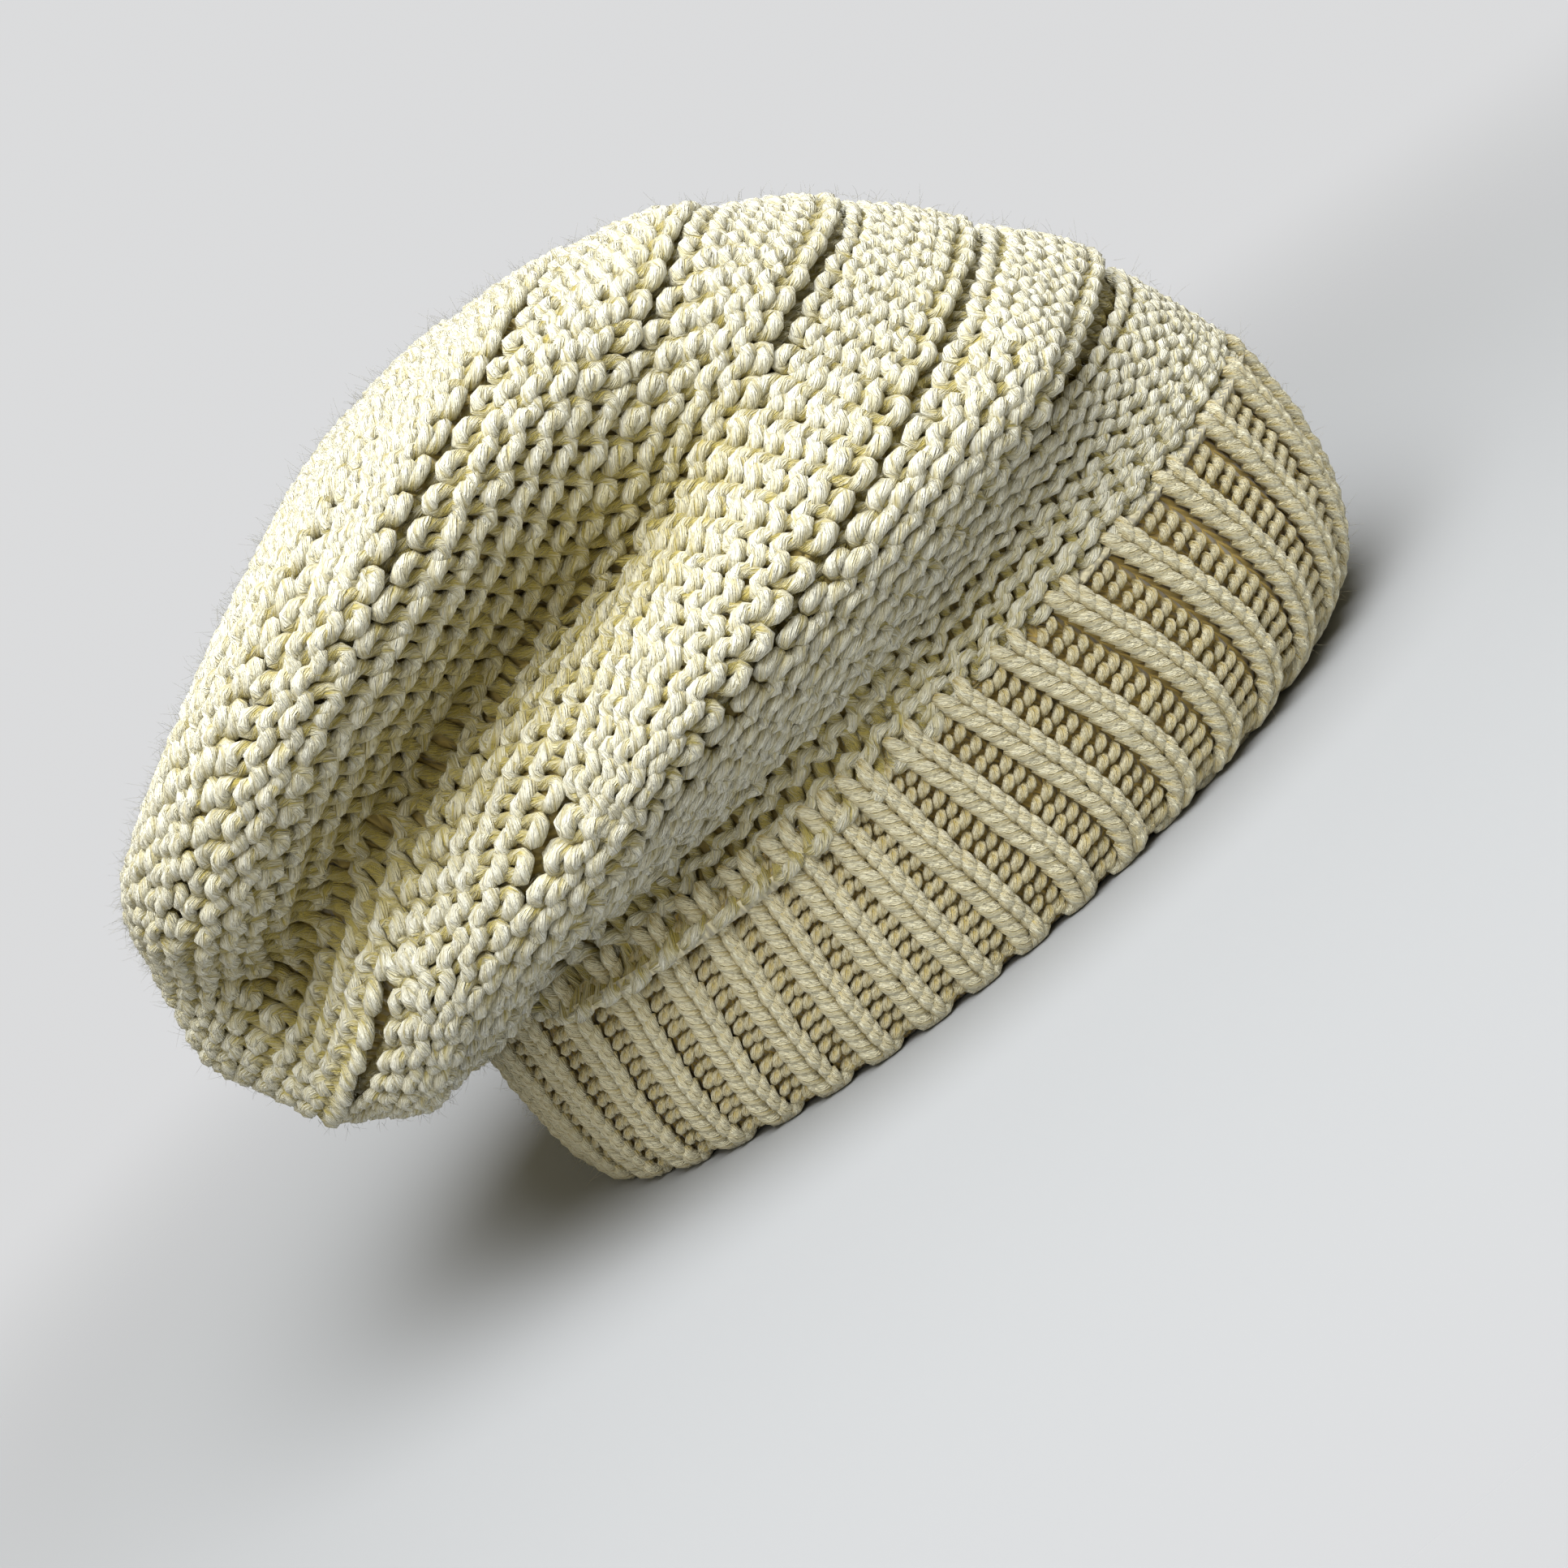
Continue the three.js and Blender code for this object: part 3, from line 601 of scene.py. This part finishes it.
def purl_round(welt, line_at, stitches, bulge, row=0, rounds=2, in_notch=False):
    """One round of loops, laid on the crown along the millimetres up it that line_at gives."""
    turns = np.linspace(-np.pi / 2, 1.5 * np.pi, LINE_MARKS)
    line = on_crown(ring_at(line_at(turns), turns), turns)[0]
    arc = np.r_[0, np.cumsum(np.linalg.norm(np.diff(line, axis=0), axis=1))]
    pitch = arc[-1] / stitches
    beats = np.arange(stitches * LOOP_SAMPLES) / LOOP_SAMPLES
    beat = beats * FULL_TURN

    def per_stitch(spread):
        marks = unevenness.normal(0, spread, stitches)
        return np.interp(beats, np.arange(stitches + 1), np.r_[marks, marks[0]])

    along = (beats + LOOP_SWAY * np.sin(2 * beat) + per_stitch(0.04)) * pitch
    turn = np.interp(np.mod(along, arc[-1]), arc, turns)
    climb = line_at(turn)
    low, end, notch_width = welt_reach(welt, turn)
    spacing = (end - low) * (0.92 / rounds)
    shown, apart = rows_that_show(spacing, row)
    if in_notch:
        shown, apart = np.ones_like(turn), np.full_like(turn, 0.8 * COURSE)
    reach = np.clip(LOOP_REACH * apart, SHORTEST_REACH, LONGEST_REACH) * (1 + per_stitch(0.09))
    target = climb - reach * np.cos(beat) + per_stitch(0.30)
    _, _, push = on_crown(ring_at(climb, turn), turn)
    share = np.clip(ring_at(climb, turn) - welt, 0, 1)
    point, outward, _ = on_crown(ring_at(target, turn), turn)
    point[:, 2] += np.minimum(target, 0)
    sink = welt_sink(welt, share, turn) + per_stitch(0.22) + 3.5 * (1 - shown)
    if welt == 0:
        # The first round lies in behind the tops of the ribs
        sink += SEAM_ROUND_SINK * (1 - smooth_step(0.0, SEAM_ROUND_HEIGHT, target))
    visible = shown > 0.04
    if in_notch:
        sink += notch_floor(welt, turn) - WELT_DROP + NOTCH_ROUND_DEPTH
        visible = (notch_width > NARROWEST_NOTCH) & (push > -0.3 * FOLD_DEPTH)
    lift = bulge * (np.cos(2 * beat) + LOOP_SKEW * np.sin(2 * beat))
    place = point - outward * (sink + YARN + LOOP_BULGE - lift)[:, None]
    plump = np.clip(apart / COURSE + 0.06, 0.8, 1.04)
    radii = YARN * plump * (1 + 0.05 * np.cos(2 * beat)) * (1 + per_stitch(0.03))
    # Painted shade: the legs between the bumps lie deep, and so does all of it in a fold and a sunk round in
    # a notch, so these get the deeper colour
    deep = 0.5 - 0.5 * np.cos(2 * beat) * np.sign(bulge)
    shade = np.clip(0.75 * deep + 0.35 * smooth_step(0.05, 0.9, -push / FOLD_DEPTH) + 0.4 * in_notch, 0, 1)
    return strand_pieces(place, radii, shade, visible, stitches)


def round_length(ring):
    line = on_crown(np.full(361, ring), np.linspace(0, FULL_TURN, 361))[0]
    return np.linalg.norm(np.diff(line, axis=0), axis=1).sum()


for welt in range(LAST_RING):
    start, end, _ = welt_reach(welt, np.zeros(1))
    rounds = max(FEWEST_ROUNDS, round(float(end[0] - start[0]) / COURSE))
    stitches = min(MOST_STITCHES, round(round_length(welt + 0.5) / STITCH))
    strands = []
    for row in range(rounds):
        line_at = lambda turn, welt=welt, row=row, rounds=rounds: round_line(welt, row, rounds, turn)
        if welt >= LAST_RING - 3:
            front_ring = float(ring_at(line_at(np.zeros(1)), np.zeros(1))[0])
            stitches = max(6, round(round_length(front_ring) / STITCH))
        strands += purl_round(welt, line_at, stitches, LOOP_BULGE, row, rounds)
    if welt < LAST_RING - 1:
        line_at = lambda turn, welt=welt: notch_line(welt, turn)
        strands += purl_round(welt, line_at, stitches, -0.5 * LOOP_BULGE, in_notch=True)
    knitted_welt = make_yarn(f"welt_{welt + 1}", strands, LOOP_SIDES, crown_yarn)
    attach(knitted_welt, "root")
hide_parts("slouch_crown")

# Band cloth
# The wall of the ribbed band between and behind its ribs, in the same yarn. Its outer side is painted shade,
# coloured deep for the shade between the ribs. The ribs crowd a little and lean back as they rise.
RIB_COUNT, RIB_CROWDING, RIB_LEAN, RIB_MIDDLE = 40, 0.083, 18.0, 0.48
RIB_RAISE, BAND_CLOTH_WALL, BAND_CLOTH_START = 2.8, 1.9, 0.12
BAND_CELLS_ROUND, BAND_CELLS_UP = 160, 12


def rib_turn(turns, up):
    even = turns / RIB_COUNT * FULL_TURN
    turn = even + RIB_CROWDING * np.sin(2 * even)
    lean = RIB_LEAN / (RIM_LENGTH / 2) * (0.78 * np.sin(2 * turn) + 0.38 * np.sin(turn))
    return turn + lean * up


def band_cloth_place(u, v):
    level = BAND_CLOTH_START + v * (BAND_TOP - BAND_CLOTH_START)
    turn = rib_turn(u * RIB_COUNT, smooth_run(BAND_LEVELS[:, 0], level))
    return band_point(turn, level, RIB_RAISE + BAND_CLOTH_WALL)


band_cloth = cloth_sheet("band_cloth", BAND_CELLS_ROUND, BAND_CELLS_UP, band_cloth_place, BAND_CLOTH_WALL)
# Painted shade: the outer side of the band cloth is coloured deep brown for the shade between the ribs
band_painted_shade_knit = lining_knit("band_painted_shade", (0.50, 0.36, 0.10), 160, 16)
band_lining_knit = lining_knit("band_lining_knit", (0.70, 0.64, 0.42), 120, 16)
band_cloth.data.materials.append(band_painted_shade_knit)
band_cloth.data.materials.append(band_lining_knit)
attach(band_cloth, "root")
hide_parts("rib_band")

# Ribs
# Each rib is one wide column of knit stitches. The two legs of every V lie like a pair of ropes, their
# strands slanting in towards the rim and dipping at both ends, and they run on into the crown's first round.
# 15 rows to the height of the band, which strands are measured against
RIB_ROWS, BAND_RISE = 15, 60.0
LEG_YARN, LEG_APART, GRAIN_LENGTH, GRAIN_DIP = 1.95, 4.1, 7.8, 2.2
LEG_SIDES, LOWEST_LEG, HIGHEST_LEG = 7, 0.045, 1.06
# How far a strand slants across its leg, on the legs at either side
LEG_SLANTS = ((-1, 2.8), (1, 2.2))
# The second colour is painted shade in grooves and deep places, and the tone of random patches
band_yarn = ivory_yarn("band_yarn", (0.97, 0.935, 0.72), (0.56, 0.42, 0.10), 3.0, 0.45)


def band_chart():
    """Heights along the band's face to levels, so that stitch rows are evenly spaced."""
    levels = np.linspace(0, BAND_TOP, 200)
    rise = np.linalg.norm(np.diff(band_point(np.pi / 2, levels, 0), axis=0), axis=1)
    climbed = np.r_[0, np.cumsum(rise)]
    return climbed / climbed[-1], levels


band_shares, band_levels = band_chart()


def on_band(rib, sideways, height, depth):
    """A point of the band: rib number, millimetres sideways, share of the height, millimetres in."""
    level = np.interp(height, band_shares, band_levels)
    over = np.minimum(height, 0) * BAND_SIDE_HEIGHT + np.maximum(height - 1, 0) * BAND_SIDE_HEIGHT
    turn = rib_turn(rib, smooth_run(BAND_LEVELS[:, 0], level))
    beside = band_point(turn + 0.01, level, 0) - band_point(turn - 0.01, level, 0)
    turn_length = np.linalg.norm(beside, axis=-1) / 0.02
    point = band_point(turn + sideways / turn_length, level, depth)
    point[..., 2] += over
    return point


leg_strands = []
grain_radii = np.array((0.60, 0.90, 1.02, 1.03, 0.94, 0.66)) * LEG_YARN
grain = np.linspace(0, 1, len(grain_radii))
grain_dip = (2 * grain - 1.2)**2
row_height = 1 / RIB_ROWS
for rib in range(RIB_COUNT):
    for side, slant in LEG_SLANTS:
        for row in range(RIB_ROWS):
            wobble = unevenness.normal(0, 1, 4)
            middle = (row + 0.95) * row_height
            height = middle + (grain - 0.5) * (GRAIN_LENGTH + 0.3 * wobble[0]) / BAND_RISE
            height = np.clip(height, LOWEST_LEG, HIGHEST_LEG)
            sideways = side * (LEG_APART / 2 + (grain - 0.5) * slant) + 0.14 * wobble[1]
            depth = LEG_YARN + GRAIN_DIP * grain_dip + 0.16 * wobble[2]
            points = on_band(np.full(len(grain), rib + RIB_MIDDLE), sideways, height, depth)
            radii = grain_radii * (1 + 0.04 * wobble[3])
            # Painted shade at both ends of each strand, where it dips into the fabric
            leg_strands.append((points, radii, False, 0.6, 0.05 + 0.75 * grain_dip))
rib_legs = make_yarn("rib_legs", leg_strands, LEG_SIDES, band_yarn)
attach(rib_legs, "root")

# Purl columns
# Between two ribs the same rounds of yarn cross as purl stitches, sunk below the ribs: two slanting bumps
# to a row, each rising out of the flank of one rib.
GAP_YARN, BUMP_HALF, BUMP_RISE, BUMP_ARCH, BUMP_DEPTH = 1.35, 2.2, 1.35, 1.9, 0.4
# Where the two bumps of a row lie: millimetres off the gap's middle, and share of the row
BUMP_PLACES = ((-1.9, 0.20), (1.9, 0.25))
LOWEST_BUMP, HIGHEST_BUMP = 0.07, 1.0
gap_strands = []
bump_radii = GAP_YARN * np.array((0.65, 0.95, 1.08, 1.08, 0.95, 0.65))
bump_run = np.linspace(-1, 1, len(bump_radii))
for rib in range(RIB_COUNT):
    for row in range(RIB_ROWS):
        for across, up in BUMP_PLACES:
            wobble = unevenness.normal(0, 1, 4)
            sideways = across + (BUMP_HALF + 0.2 * wobble[3]) * bump_run + 0.2 * wobble[0]
            height = (row + up) * row_height + (BUMP_RISE * bump_run + 0.2 * wobble[1]) / BAND_RISE
            height = np.clip(height, LOWEST_BUMP, HIGHEST_BUMP)
            depth = RIB_RAISE + BUMP_DEPTH + BUMP_ARCH * bump_run**2 + 0.2 * wobble[2]
            points = on_band(np.full(len(bump_run), rib + RIB_MIDDLE + 0.5), sideways, height, depth)
            radii = bump_radii * (1 + 0.06 * wobble[3])
            # Painted shade on every bump, most at its ends, where it dips under the ribs
            gap_strands.append((points, radii, False, 0.5, 0.25 + 0.75 * bump_run**2))
gap_purls = make_yarn("gap_purls", gap_strands, LOOP_SIDES, band_yarn)
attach(gap_purls, "root")

# Rim edge
# The cast-on round. It runs along the lower edge, round the end of each rib and up into each gap.
EDGE_YARN, EDGE_RISE, EDGE_LIFT, EDGE_STITCHES = 1.85, 3.0, 0.05, 120
MARKS_A_RIB = 16
edge_marks = np.arange(RIB_COUNT * MARKS_A_RIB) / MARKS_A_RIB
from_rib = (edge_marks - RIB_MIDDLE + 0.5) % 1 - 0.5
on_rib = smooth_step(0.40, 0.22, np.abs(from_rib))
in_gap = 1 - on_rib
edge_level = np.interp(EDGE_RISE * in_gap / BAND_RISE, band_shares, band_levels)
edge_points = band_point(rib_turn(edge_marks, 0.0), edge_level, EDGE_YARN + (RIB_RAISE + 0.6) * in_gap)
edge_points[:, 2] = EDGE_YARN + EDGE_LIFT + EDGE_RISE * in_gap
edge_radii = EDGE_YARN * (1 + 0.05 * np.cos(from_rib * 4 * np.pi))
# Painted shade on the stretches that run up into the gaps
rim_strand = (edge_points, edge_radii, True, EDGE_STITCHES, 0.6 * in_gap)
rim_edge = make_yarn("rim_edge", [rim_strand], LEG_SIDES, band_yarn)
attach(rim_edge, "root")

# Fibre ends
# Short loose fibres that stand out of the yarn all over the crown and the band.
FIBRE, CROWN_FIBRES, BAND_FIBRES = 0.035, 9000, 3000
SHORTEST_FIBRE, LONGEST_FIBRE, MOST_LEAN = 1.2, 3.4, 1.4


def loose_fibres(name, roots, outward, material):
    """Curled fibres from points in mm: each leans off its root at random and ends a few millimetres out."""
    lean = np.clip(unevenness.normal(0, 1, roots.shape), -MOST_LEAN, MOST_LEAN)
    bend = np.clip(unevenness.normal(0, 1, roots.shape), -MOST_LEAN, MOST_LEAN)
    length = unevenness.uniform(SHORTEST_FIBRE, LONGEST_FIBRE, len(roots))[:, None]
    fibre_radii = FIBRE * np.array((1.0, 0.9, 0.7, 0.4))
    run = np.linspace(0, 1, len(fibre_radii))[:, None]
    strands = []
    for root, direction, curl, long in zip(roots, outward * 0.55 + 0.5 * lean, bend, length):
        points = root + long * (run * direction + 0.5 * run**2 * curl)
        points[:, 2] = np.maximum(points[:, 2], FIBRE)
        strands.append((points, fibre_radii, False, 1, np.zeros(len(run))))
    fibres = make_yarn(name, strands, 3, material)
    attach(fibres, "root")


fibre_ring = unevenness.uniform(0.05, LAST_RING - 0.6, CROWN_FIBRES)
fibre_turn = unevenness.uniform(0, FULL_TURN, CROWN_FIBRES)
crown_roots, crown_away, _ = on_crown(fibre_ring, fibre_turn)
loose_fibres("crown_fibres", crown_roots - 0.8 * crown_away, crown_away, crown_yarn)
fibre_rib = unevenness.integers(0, RIB_COUNT, BAND_FIBRES) + RIB_MIDDLE
fibre_side = unevenness.choice((-2.4, 2.4), BAND_FIBRES)
fibre_height = unevenness.uniform(0.08, 1.0, BAND_FIBRES)
band_roots = on_band(fibre_rib, fibre_side, fibre_height, np.full(BAND_FIBRES, 0.5))
band_away = on_band(fibre_rib, fibre_side, fibre_height, np.full(BAND_FIBRES, -0.5)) - band_roots
loose_fibres("band_fibres", band_roots, band_away, band_yarn)

# Floor, light and camera
# A plain pale floor that runs out into an even pale studio, one large soft light overhead and a weak one
# beside the camera.
floor_mesh = bmesh.new()
bmesh.ops.create_circle(floor_mesh, cap_ends=True, segments=96, radius=4)
floor_data = bpy.data.meshes.new("studio_floor")
floor_mesh.to_mesh(floor_data)
floor_mesh.free()
studio_floor = bpy.data.objects.new("studio_floor", floor_data)
bpy.context.scene.collection.objects.link(studio_floor)
floor_paint = bpy.data.materials.new("studio_floor_paint")
floor_paint.use_nodes = True
tree = floor_paint.node_tree
shader = tree.nodes["Principled BSDF"]
shader.inputs["Base Color"].default_value = (0.36, 0.37, 0.39, 1)
shader.inputs["Roughness"].default_value = 0.9
shader.inputs["Specular IOR Level"].default_value = 0.1
place = tree.nodes.new("ShaderNodeTexCoord")
away = tree.nodes.new("ShaderNodeVectorMath")
away.operation = "LENGTH"
tree.links.new(place.outputs["Object"], away.inputs[0])
fade = tree.nodes.new("ShaderNodeMapRange")
fade.interpolation_type = "SMOOTHSTEP"
fade.inputs["From Min"].default_value = 0.16
fade.inputs["From Max"].default_value = 0.62
fade.inputs["To Min"].default_value = 1.0
fade.inputs["To Max"].default_value = 0.0
tree.links.new(away.outputs["Value"], fade.inputs["Value"])
tree.links.new(fade.outputs["Result"], shader.inputs["Alpha"])
floor_data.materials.append(floor_paint)

studio = bpy.data.worlds.new("studio")
studio.use_nodes = True
bpy.context.scene.world = studio
tree = studio.node_tree
backdrop = tree.nodes["Background"]
backdrop.inputs["Color"].default_value = (0.985, 0.99, 1.0, 1)
backdrop.inputs["Strength"].default_value = 0.72
ambient = tree.nodes.new("ShaderNodeBackground")
ambient.inputs["Color"].default_value = (1.0, 0.88, 0.55, 1)
ambient.inputs["Strength"].default_value = 0.20
seen = tree.nodes.new("ShaderNodeLightPath")
chosen = tree.nodes.new("ShaderNodeMixShader")
tree.links.new(seen.outputs["Is Camera Ray"], chosen.inputs["Fac"])
tree.links.new(ambient.outputs["Background"], chosen.inputs[1])
tree.links.new(backdrop.outputs["Background"], chosen.inputs[2])
tree.links.new(chosen.outputs["Shader"], tree.nodes["World Output"].inputs["Surface"])


def soft_light(name, place, aim, size, power, colour):
    light = bpy.data.lights.new(name, "AREA")
    light.shape = "DISK"
    light.size = size
    light.energy = power
    light.color = colour
    lamp = bpy.data.objects.new(name, light)
    lamp.location = place
    lamp.rotation_euler = (Vector(place) - Vector(aim)).to_track_quat("Z", "Y").to_euler()
    bpy.context.scene.collection.objects.link(lamp)


soft_light("overhead_softbox", (0.05, -0.50, 1.20), (0, 0, 0.1), 1.4, 36.0, (0.985, 0.995, 1.0))
soft_light("camera_fill", (-0.5, -1.5, 0.7), (0, 0, 0.1), 0.8, 3.8, (1.0, 0.95, 0.80))

CAMERA_PLACE = (0.000964, -0.789522, 0.219051)
CAMERA_AXES = (
    (0.778836, 0.627216, 0.003736),
    (-0.128595, 0.165505, -0.977789),
    (-0.613904, 0.761057, 0.209558),
)
PHOTO_WIDTH_PX, FOCAL_PX = 1932, 3953.6
camera_data = bpy.data.cameras.new("photo_camera")
camera_data.sensor_width = 36.0
camera_data.lens = camera_data.sensor_width * FOCAL_PX / PHOTO_WIDTH_PX
camera_data.clip_start, camera_data.clip_end = 0.01, 20.0
photo_camera = bpy.data.objects.new("photo_camera", camera_data)
photo_camera.matrix_world = Matrix.Translation(CAMERA_PLACE) @ Matrix(CAMERA_AXES).to_4x4()
bpy.context.scene.collection.objects.link(photo_camera)
bpy.context.scene.camera = photo_camera
bpy.context.scene.view_settings.view_transform = "Standard"
